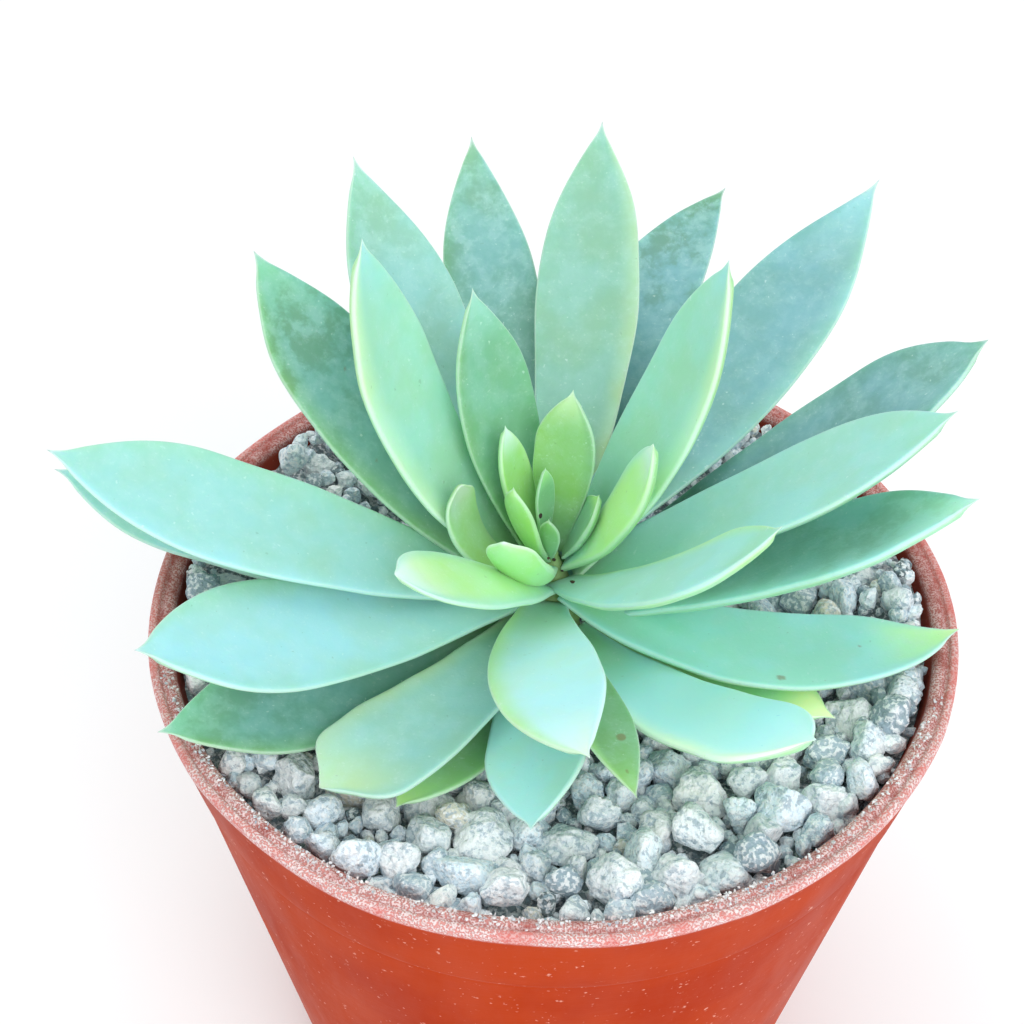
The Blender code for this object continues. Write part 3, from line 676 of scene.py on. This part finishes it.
LOWER_LEAVES = [
    ((-119, 9, 4, 9, -8, 29.5, 10, 0.56, 1.05, -4.8),
     dict(skin="moss leaf lime leaf leaf moss", frost=0.2, bloom=1.3,
          scars=[(0.86, -0.3, 0.9), (0.62, 0.2, 0.5)])),
    ((-24, 8, -3, -10, -5, 29, 10.5, 0.58, 1.15, -4.0),
     dict(skin="moss leaf straw leaf lime moss", frost=0.2, bloom=1.9)),
    ((-76, 29, -20, 1, -8, 31, 6, 0.54, 1.20, -3.6),
     dict(skin="moss leaf apple leaf lime moss", frost=0.2,
          scars=[(0.72, 0.35, 0.8), (0.88, 0.1, 0.6)])),
    ((-144, 4, 11, -5, -12, 41, 11.5, 0.62, 1.15, -2.6),
     dict(skin="leaf teal jade leaf jade leaf", rubbed=0.5, bloom=1.05)),
    ((-92, 14, -3, 0, 18, 31, 10.5, 0.58, 1.15, -2.6),
     dict(skin="jade aqua aqua aqua aqua jade", frost=0.4, bloom=1.25)),
    ((174, 12, 1, -1, -7, 51, 13.5, 0.64, 1.20, -1.4),
     dict(skin="jade sea sea sea sea jade")),
]
build_leaves("lower", LOWER_LEAVES, GROWN, leaf_skin("leaf_skin_lower", 0.50, 0.30, 0.35))

# ---------------------------------------------------------------------------
# The outer leaves: the largest, spread wide in a ring over the lower ones. The sun has
# turned them blue, and the wax is rubbed off their ends in dark and frosty patches.

OUTER_LEAVES = [
    ((-57, 7, 37, 10, -2, 39, 11, 0.72, 1.15, -2.6),
     dict(skin="jade pale_blue frost aqua lemon leaf", bloom=1.4)),
    ((-7, 26, 16, -14, -3, 44, 12.5, 0.62, 1.05, -1.2),
     dict(skin="jade teal mint teal sea leaf", frost=0.5, rubbed=0.4, bloom=1.38)),
    ((82, 34.5, -16, -30, 6, 52, 11, 0.58, 1.10, -1.0),
     dict(skin="sea slate teal slate slate jade", frost=0.9, rubbed=1.0, bloom=0.84)),
    ((107, 33, 7, -6, -9, 51, 10.5, 0.58, 1.10, -1.0),
     dict(skin="sea sea mint jade sea jade", frost=0.9, rubbed=0.4, bloom=0.72)),
    ((-115, 5, 0, -23, 7, 33, 12, 0.82, 1.00, 0.0),
     dict(skin="jade aqua lemon aqua lemon leaf", bloom=0.84)),
    ((158, 37, 6, -20, -2, 45, 13, 0.56, 1.10, 0.0),
     dict(skin="moss teal jade leaf teal leaf", frost=0.7, rubbed=0.9, bloom=1.1,
          scars=[(0.45, 0.5, 0.5), (0.66, -0.2, 0.4)])),
    ((14, 36.5, 5, -10, -3, 49, 13, 0.72, 1.05, -1.2),
     dict(skin="jade slate sea teal sea jade", frost=0.5, rubbed=0.3, bloom=0.74)),
    ((-33, -7, 15, 53, -5.5, 41.5, 11.5, 0.52, 1.05, 2.2),
     dict(skin="jade sea lime sea sea leaf", bloom=1.3,
          scars=[(0.55, -0.75, 0.7), (0.75, 0.1, 0.4)])),
]
build_leaves("outer", OUTER_LEAVES, GROWN, leaf_skin("leaf_skin_outer", 0.48, 0.30, 0.38))

# ---------------------------------------------------------------------------
# The middle leaves: full-sized and evenly waxed pale blue-green, half raised. Their
# edges stay green, or turn yellow where the flesh is thin, the yellow partly painted glow
# of light shining through it.

MIDDLE_LEAVES = [
    ((-167, 25, 4, -9, -12, 51, 12.5, 0.66, 1.15, 0.8),
     dict(skin="jade aqua aqua pale_blue mint leaf", bloom=0.92)),
    ((-99, 27, -6, 32, 10, 36, 10.5, 0.56, 1.20, 1.2),
     dict(skin="mint frost cream frost lime leaf", frost=0.2)),
    ((136, 41, 17, -10, 1, 47, 12, 0.58, 1.20, 1.6),
     dict(skin="jade aqua mint mint aqua jade", frost=0.6, rubbed=0.2, bloom=0.82)),
    ((-1, 31, 14, -12, 1, 44, 12, 0.64, 1.15, 2.5),
     dict(skin="mint aqua mint aqua aqua leaf", frost=0.5)),
    ((-154, 2.5, 30.5, 17, -13, 45, 13, 0.64, 1.10, 2.3),
     dict(skin="mint pale_blue pale_blue aqua mint leaf", frost=0.2, bloom=0.92)),
    ((83, 32, 9, 4, 4, 50, 11, 0.60, 1.15, 2.6),
     dict(skin="leaf mint mint mint lemon leaf", bloom=0.74)),
    ((43.5, 20, 21, 1, 6, 53, 12.5, 0.56, 1.20, 5.0),
     dict(skin="teal slate pale_blue slate aqua jade", frost=0.4, bloom=0.8)),
]
build_leaves("middle", MIDDLE_LEAVES, GROWN, leaf_skin("leaf_skin_middle", 0.46, 0.32, 0.40))

# ---------------------------------------------------------------------------
# The inner leaves: half grown, stood up round the heart, with clear green flesh, a yellow
# edge that is partly painted glow of light shining through it, and a bright waxy end.

INNER_LEAVES = [
    ((-112, 44, -7, -28, -10, 29.5, 8, 0.72, 0.80, 2.5),
     dict(skin="mint lime cream mint mint lime", frost=0.2, dome=0.3, widest=0.74)),
    ((178, 47, 41, -10, -13, 43.5, 12, 0.58, 1.10, 3.0),
     dict(skin="leaf mint aqua lemon mint apple", frost=0.2, margin=0.7)),
    ((-59, 33, 21, 38, 3, 35, 10, 0.64, 0.90, 3.2),
     dict(skin="mint aqua mint lime aqua lime", frost=0.2, dome=0.18, bloom=0.98, width=9.2, point=1.15)),
    ((26, 53, 29, -16, 5, 38.5, 11.5, 0.58, 1.00, 3.4),
     dict(skin="jade mint aqua mint lemon apple", frost=0.2, bloom=1.06, margin=0.7)),
    ((135, 59, 20, 1, 0, 30.5, 9.5, 0.54, 1.15, 4.2),
     dict(skin="leaf jade mint leaf jade apple", frost=0.2, bloom=0.9)),
]
build_leaves("inner", INNER_LEAVES, GROWN, leaf_skin("leaf_skin_inner", 0.44, 0.34, 0.42))

# ---------------------------------------------------------------------------
# The heart leaves: thick finger-like young leaves, apple green and hardly waxed yet,
# crowded round the growing point with bright blunt ends.

HEART_LEAVES = [
    ((-19, 51, 29, 18, 15, 20, 6.5, 0.58, 0.85, 4.6),
     dict(skin="mint lime cream mint lime apple", dome=0.2, bloom=1.12)),
    ((-144, 10, 89, -64, -11, 17, 4.5, 0.68, 0.75, 4.8),
     dict(skin="apple lime cream lime lime apple", dome=0.35, bloom=0.75, width=5.4, point=0.55,
          widest=0.76)),
    ((-103, 31, 37, -26, 25, 17, 5.5, 0.66, 0.70, 4.8),
     dict(skin="mint lime cream lime lime apple", dome=0.5, bloom=1.25, widest=0.80,
          width=5.2)),
    ((81, 80, -8, -13, -1, 18.5, 6.5, 0.60, 1.20, 5.2),
     dict(skin="leaf apple lemon apple leaf apple", bloom=0.9)),
    ((153, 65, 14, -1, 0, 16, 5, 0.58, 1.15, 5.2),
     dict(skin="leaf apple cream apple lime apple", bloom=1.15)),
    ((-141, 62, 15, 9, 0, 13.5, 4, 0.62, 1.05, 5.4),
     dict(skin="leaf apple lemon apple lime apple", bloom=1.1)),
    ((-1, 66, 2, 7, 0, 9, 4.5, 0.60, 1.10, 5.6),
     dict(skin="leaf jade lime leaf leaf leaf")),
    ((148, 88, -1, -2, -2, 11, 3.5, 0.60, 1.10, 5.8),
     dict(skin="moss leaf lime leaf leaf leaf", width=3.0)),
    ((-105, 77, 3, -5, -1, 6.5, 2.5, 0.60, 1.10, 6.0),
     dict(skin="moss leaf lime leaf leaf leaf", width=2.2)),
]
build_leaves("heart", HEART_LEAVES, YOUNG, leaf_skin("leaf_skin_heart", 0.42, 0.36, 0.42))

# ---------------------------------------------------------------------------
# The potting soil: dark peat pressed into the pot under the grit. Only the drain holes
# show it, and a few crumbs that fell among the leaves.


def potting_peat():
    """Near-black brown crumbs with paler fibres, rough all over."""
    finish, tree, shader, coords = finish_start("potting_peat", Roughness=0.95)
    crumbs = grain(tree, coords, 420, 6.0, 0.7)
    pale = band(tree, crumbs, 0.35, 0.7)
    colour = over(tree, pale, (0.018, 0.011, 0.007, 1), (0.11, 0.07, 0.042, 1))
    tree.links.new(colour, shader.inputs["Base Color"])
    tree.links.new(relief(tree, crumbs, 1.0 * MM), shader.inputs["Normal"])
    return finish


soil_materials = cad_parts["potting_soil"].data.materials
soil_materials.clear()
soil_materials.append(potting_peat())

# ---------------------------------------------------------------------------
# The top dressing: washed grit of pumice and crushed granite, poured round the plant
# over a bed of the same. Eighteen larger stones are pieces of their own; the rest lie
# as they fell, from six millimetres down to one, with a few grains on the pot's lip.

BED_ROWS = 90
BED_COLUMNS = 240
# The bed's dark grey tone is painted shade, standing for the shadow in the gaps between the stones.
BED_SHADE_TONE = (0.26, 0.31, 0.32, 1.0)
GRIT_BORE = RIM_RADIUS - 3.1 * MM


def stone_finish():
    """Pale grey pumice and granite: each stone has its own tone from near white to slate,
    with a few cream, under dark mineral grains, glassy flecks and fine pores."""
    finish, tree, shader, coords = finish_start("washed_grit", Metallic=0.0)
    shader.inputs["Specular IOR Level"].default_value = 0.35
    own = wire(tree, "Attribute", {}, attribute_name="stone_tone").outputs["Color"]
    broad = grain(tree, coords, 420, 5.0, 0.6)
    salt = grain(tree, coords, 2100, 2.0, 0.5)
    pepper = grain(tree, coords, 1700, 3.0, 0.6)
    dark = over(tree, 1.0, own, (0.88, 0.93, 0.96, 1), "MULTIPLY")
    colour = over(tree, band(tree, broad, 0.64, 0.40), own, dark)
    colour = over(tree, times(tree, band(tree, salt, 0.46, 0.60), 0.85), colour, (0.98, 1.0, 1.0, 1))
    crowd = band(tree, broad, 0.64, 0.42, 0.25, 1.0)
    grey = times(tree, times(tree, band(tree, pepper, 0.52, 0.38), 0.75), crowd)
    colour = over(tree, grey, colour, (0.33, 0.44, 0.52, 1))
    tree.links.new(colour, shader.inputs["Base Color"])
    tree.links.new(band(tree, salt, 0.35, 0.7, 0.92, 0.6), shader.inputs["Roughness"])
    bump = relief(tree, pepper, 0.14 * MM, 0.8)
    bump = relief(tree, salt, 0.35 * MM, 0.9, bump)
    bump = relief(tree, broad, 0.7 * MM, 0.7, bump)
    tree.links.new(bump, shader.inputs["Normal"])
    return finish


def ball_grid(rows, columns):
    """Directions over a ball in rows from pole to pole, then the two poles."""
    tilt = np.pi * (np.arange(rows) + 1) / (rows + 1)
    turn = 2 * np.pi * np.arange(columns) / columns
    tilt, turn = np.meshgrid(tilt, turn, indexing="ij")
    ball = np.stack([np.sin(tilt) * np.cos(turn), np.sin(tilt) * np.sin(turn), -np.cos(tilt)], -1)
    return np.concatenate([ball.reshape(-1, 3), [(0, 0, -1), (0, 0, 1)]])


def random_turns(rng, count):
    """Random rotation matrices, from normalised random quaternions."""
    quaternions = rng.normal(size=(4, count))
    w, x, y, z = quaternions / np.linalg.norm(quaternions, axis=0)
    return np.array([
        [1 - 2 * (y * y + z * z), 2 * (x * y - z * w), 2 * (x * z + y * w)],
        [2 * (x * y + z * w), 1 - 2 * (x * x + z * z), 2 * (y * z - x * w)],
        [2 * (x * z - y * w), 2 * (y * z + x * w), 1 - 2 * (x * x + y * y)],
    ]).transpose(2, 0, 1)


def crushed_stones(rng, places, halves, rows, columns, sharpness, rough):
    """Many stones as one array of points. Each is a lump cut by twelve random planes:
    in any direction its radius is the soft minimum of the planes' distances, their
    reach in that direction summed to a high power and rooted. Waves roughen it, a random
    turn tumbles it, and it is stretched to fill its own box."""
    count = len(places)
    ball = ball_grid(rows, columns)
    planes = rng.normal(size=(count, 12, 3))
    planes /= np.linalg.norm(planes, axis=2, keepdims=True)
    depth = rng.uniform(0.62, 1.04, (count, 12))
    reach = np.maximum(np.einsum("skc,vc->svk", planes, ball), 0) / depth[:, None]
    total = np.maximum((reach**sharpness).sum(axis=2), 1e-9)
    radius = np.minimum(total ** (-1 / sharpness), 1.2)
    if rough:
        shift = rng.uniform(0, 90, (count, 1, 3))
        radius *= 1 + rough * waves(ball[None] * 2.2 + shift, 1.4, 71)
        radius *= 1 + 0.6 * rough * waves(ball[None] * 2.2 + shift, 1.1, 72)
    shape = radius[..., None] * ball
    shape = np.einsum("sij,svj->svi", random_turns(rng, count), shape)
    extent = np.abs(shape).max(axis=1, keepdims=True)
    return shape / extent * halves[:, None] + places[:, None]


def copied_faces(rows, columns, points):
    """The faces of one closed skin, over again for each stone in an array of points."""
    one = capped_faces(rows, columns)
    count, size = points.shape[:2]
    return [tuple(corner + size * k for corner in face) for k in range(count) for face in one]


def stones_piece(name, points, rows, columns, tones, finish, smooth):
    """One mesh of many closed stones, each with its tone on all its points."""
    piece = piece_from(name, points, copied_faces(rows, columns, points), finish, smooth)
    colours = np.concatenate([tones, np.ones((len(points), 1))], axis=1)
    store_colours(piece, "stone_tone", np.repeat(colours, points.shape[1], axis=0))
    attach(piece, "root")
    return piece


STONE_TONES = np.array([
    (0.93, 0.98, 1.00), (0.88, 0.95, 1.00), (0.78, 0.88, 0.94), (0.98, 1.00, 1.00),
    (0.60, 0.70, 0.76), (0.86, 0.93, 0.95), (1.00, 1.00, 0.97), (0.40, 0.49, 0.54),
])


def bed_height(radius):
    """The bed's top: a dish that climbs two and a half millimetres as the radius cubed."""
    return GRIT_TOP + 2.5 * MM * (radius / (RIM_RADIUS - 4.2 * MM)) ** 3


def pile_height(places):
    """How far loose stones lie heaped over the bed: a smooth step in the radius that
    reaches four millimetres against the back wall, and an eighth of that at the front."""
    radius = np.linalg.norm(places[:, :2], axis=1)
    behind = ease(places[:, 1], -34 * MM, 4 * MM)
    return 4.2 * MM * ease(radius, 22 * MM, 36 * MM) * (0.12 + 0.88 * behind)


leaf_cloud = np.concatenate(leaf_undersides)


def settle(places, halves, drop):
    """Keeps stones under the leaves: where a leaf passes over a stone, the stone's top
    comes down to just below the leaf. Says which had to sink by less than drop."""
    flat = leaf_cloud[None, :, :2] - places[:, None, :2]
    near = (flat**2).sum(axis=2) < (halves[:, None, :2].max(axis=2) + 0.5 * MM) ** 2
    ceiling = np.where(near, leaf_cloud[None, :, 2], 1.0).min(axis=1) - 0.25 * MM
    sunk = np.minimum(places[:, 2], ceiling - halves[:, 2])
    kept = places[:, 2] - sunk < drop
    return np.column_stack([places[:, :2], sunk]), kept


def spread(rng, count, halves, fixed, fixed_halves, bore, passes):
    """Loose stones laid out flat: random places inside the bore, pushed apart pair by
    pair until they barely overlap each other and the fixed stones."""
    radius = bore * np.sqrt(rng.uniform(0.02, 1, count))
    turn = rng.uniform(0, 2 * np.pi, count)
    spots = np.stack([radius * np.cos(turn), radius * np.sin(turn)], axis=1)
    size = halves[:, :2].mean(axis=1)
    anchors = np.concatenate([fixed[:, :2], [(0, 0)]])
    anchor_size = np.append(fixed_halves[:, :2].mean(axis=1), STEM_RADIUS)
    for _ in range(passes):
        for others, other_size, share in ((spots, size, 0.5), (anchors, anchor_size, 1.0)):
            apart = spots[:, None] - others[None]
            gap = np.linalg.norm(apart, axis=2)
            wanted = 0.9 * (size[:, None] + other_size[None])
            push = np.where((gap < wanted) & (gap > 0), (wanted - gap) * share, 0)
            spots = spots + (apart / np.maximum(gap, 1e-6)[..., None] * push[..., None]).sum(axis=1) * 0.7
        out = np.linalg.norm(spots, axis=1)
        spots *= np.minimum(1, (bore - size) / out)[:, None]
    return spots


# How light and how warm each of the larger stones is.
LARGE_STONES = [
    (0.97, 0), (0.92, 0), (0.97, 0), (0.97, 0.02), (0.97, 0), (0.88, 0), (0.97, 0),
    (0.97, 0), (0.92, 0), (0.94, 0), (0.97, 0), (0.92, 0), (0.90, 0), (0.97, 0),
    (0.92, 0), (0.94, 0), (0.92, 0), (0.94, 0),
]
STONE_SHARPNESS = 17.0
STONE_ROUGHNESS = 0.035


def build_large_stones(rng, finish):
    """Each large stone fills the box of its own solid. Gives their centres and halves."""
    centres, halves = [], []
    rows, columns = 36, 54
    for order, (light, warmth) in enumerate(LARGE_STONES):
        node = f"stone_{order + 1:02d}"
        low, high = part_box(node)
        centres.append((low + high) / 2)
        halves.append((high - low) / 2)
        tone = np.array([(light + warmth, light + 0.02, light + 0.02 - 2 * warmth)])
        points = crushed_stones(
            rng, np.array(centres[-1:]), np.array(halves[-1:]),
            rows, columns, STONE_SHARPNESS, STONE_ROUGHNESS,
        )
        piece = stones_piece(node + "_rock", points, rows, columns, tone, finish, True)
        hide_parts(node)
    return np.array(centres), np.array(halves)


# Each size of loose stone: its name, how many, half of its least and its greatest size in
# millimetres, how far it stands out of the heap as a share of half its height, its rows
# and columns of points, whether it is smooth, and how often its stones are pushed apart.
LOOSE_SIZES = (
    ("large_grit", 90, 2.1, 3.0, 0.8, (14, 20), True, 60),
    ("medium_grit", 230, 1.3, 2.2, 0.9, (10, 14), True, 60),
    ("small_grit", 700, 0.7, 1.4, 0.6, (5, 8), False, 25),
    ("fine_grit", 1300, 0.45, 0.85, 0.1, (4, 6), False, 0),
)
CREAM_STONE = (0.86, 0.80, 0.66)
DARK_STONE = (0.16, 0.20, 0.21)
DEEPEST_SINK = 3.5 * MM


def build_loose_grit(rng, finish, fixed, fixed_halves):
    """Stones of each size in turn, spread round the fixed ones, heaped on the bed and
    settled under the leaves. One in twenty-five is cream and one in fifty is dark."""
    for name, count, small, large, rise, grid, smooth, passes in LOOSE_SIZES:
        halves = rng.uniform(small, large, (count, 1)) * rng.uniform(0.72, 1.1, (count, 3)) * MM
        spots = spread(rng, count, halves, fixed, fixed_halves, GRIT_BORE, passes)
        level = bed_height(np.linalg.norm(spots, axis=1)) + pile_height(spots)
        level += halves[:, 2] * rise + rng.uniform(0, 0.5, count) * MM * rise
        places, kept = settle(np.column_stack([spots, level]), halves, DEEPEST_SINK)
        places, halves = places[kept], halves[kept]
        if name == "large_grit":
            fixed = np.concatenate([fixed, places])
            fixed_halves = np.concatenate([fixed_halves, halves])
        tones = STONE_TONES[rng.integers(0, len(STONE_TONES), len(places))]
        tones = tones * rng.uniform(0.88, 1.14, (len(places), 1))
        tones[rng.uniform(size=len(places)) < 0.04] = CREAM_STONE
        tones[rng.uniform(size=len(places)) < 0.02] = DARK_STONE
        rough = STONE_ROUGHNESS if smooth else 0.0
        points = crushed_stones(rng, places, halves, *grid, STONE_SHARPNESS, rough)
        stones_piece(name, points, *grid, tones, finish, smooth)


def build_lip_grit(rng, finish):
    """Grains scattered round the front of the lip, most of them near its inner edge."""
    count = 420
    turn = rng.uniform(-0.9, -0.1, count) * np.pi
    radius = RIM_RADIUS - rng.triangular(1.0, 2.2, 2.4, count) * MM
    halves = rng.uniform(0.06, 0.22, (count, 3)) * MM
    height = np.full(count, POT_HEIGHT)
    places = np.stack([radius * np.cos(turn), radius * np.sin(turn), height], axis=1)
    points = crushed_stones(rng, places, halves, 3, 6, 12.0, 0.0)
    tones = np.array([(0.95, 0.84, 0.82)]) * rng.uniform(0.7, 1.0, (count, 1))
    stones_piece("lip_grit", points, 3, 6, tones, finish, False)


def build_bed(finish):
    """The fine grit under the stones, toned dark grey as painted shade in the gaps between
    them: a dished ring whose top follows the bed and the heap with waves of a quarter of a
    millimetre, closed by straight sides and a flat underside."""
    turns = 2 * np.pi * np.arange(BED_COLUMNS) / BED_COLUMNS
    reach = np.linspace(STEM_RADIUS + 0.3 * MM, GRIT_BORE + 0.35 * MM, BED_ROWS)
    top = turned_rings(np.stack([reach, bed_height(reach)], axis=1), turns)
    heap = pile_height(top.reshape(-1, 3)).reshape(top.shape[:2])
    top[..., 2] += heap * 0.6 + (waves(top, 2.2 * MM, 8) * 0.25 - 0.3) * MM
    low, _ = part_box("grit_bed")
    under = np.array([(reach[-1] - 0.9 * MM, low.z), (reach[0], low.z)])
    skin = np.concatenate([top, turned_rings(under, turns)])
    faces = grid_faces(len(skin), BED_COLUMNS)
    seam = grid_faces(2, BED_COLUMNS)
    last = (len(skin) - 1) * BED_COLUMNS
    ends = np.where(seam < BED_COLUMNS, seam + last, seam - BED_COLUMNS)
    faces = np.concatenate([faces, ends])[:, ::-1]
    bed = piece_from("grit_bed_surface", skin, faces, finish)
    # Painted shade: the whole bed takes the dark grey tone of the gaps between the stones.
    store_colours(bed, "stone_tone", np.tile(BED_SHADE_TONE, len(bed.data.vertices)))
    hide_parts("grit_bed")
    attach(bed, "root")


# Where crumbs of soil fell among the leaf bases, in millimetres from the pot's axis.
CRUMB_SPOTS = [
    (0.1, -4.2), (-0.5, -5.2), (0.9, -5.4), (2.0, -4.4), (-1.4, -4.4), (-9.8, 26.0),
]


def build_crumbs():
    """Crumbs of potting soil: each lies on the highest point of leaf skin within nine
    tenths of a millimetre of its spot."""
    rng = np.random.default_rng(5)
    spots = np.array(CRUMB_SPOTS) * MM
    away = np.linalg.norm(leaf_cloud[None, :, :2] - spots[:, None], axis=2)
    skin = np.where(away < 0.9 * MM, leaf_cloud[None, :, 2], -1).max(axis=1)
    halves = rng.uniform(0.12, 0.26, (len(spots), 3)) * MM
    places = np.column_stack([spots, skin + 0.1 * MM])
    found = skin > 0
    points = crushed_stones(rng, places[found], halves[found], 5, 8, 8.0, 0.0)
    crumbs = piece_from("soil_crumbs", points, copied_faces(5, 8, points), soil_materials[0])
    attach(crumbs, "root")


stone_rng = np.random.default_rng(29)
washed_grit = stone_finish()
large_places, large_halves = build_large_stones(stone_rng, washed_grit)
build_loose_grit(stone_rng, washed_grit, large_places, large_halves)
build_lip_grit(stone_rng, washed_grit)
build_bed(washed_grit)
build_crumbs()

bpy.context.scene.view_layers[0].update()
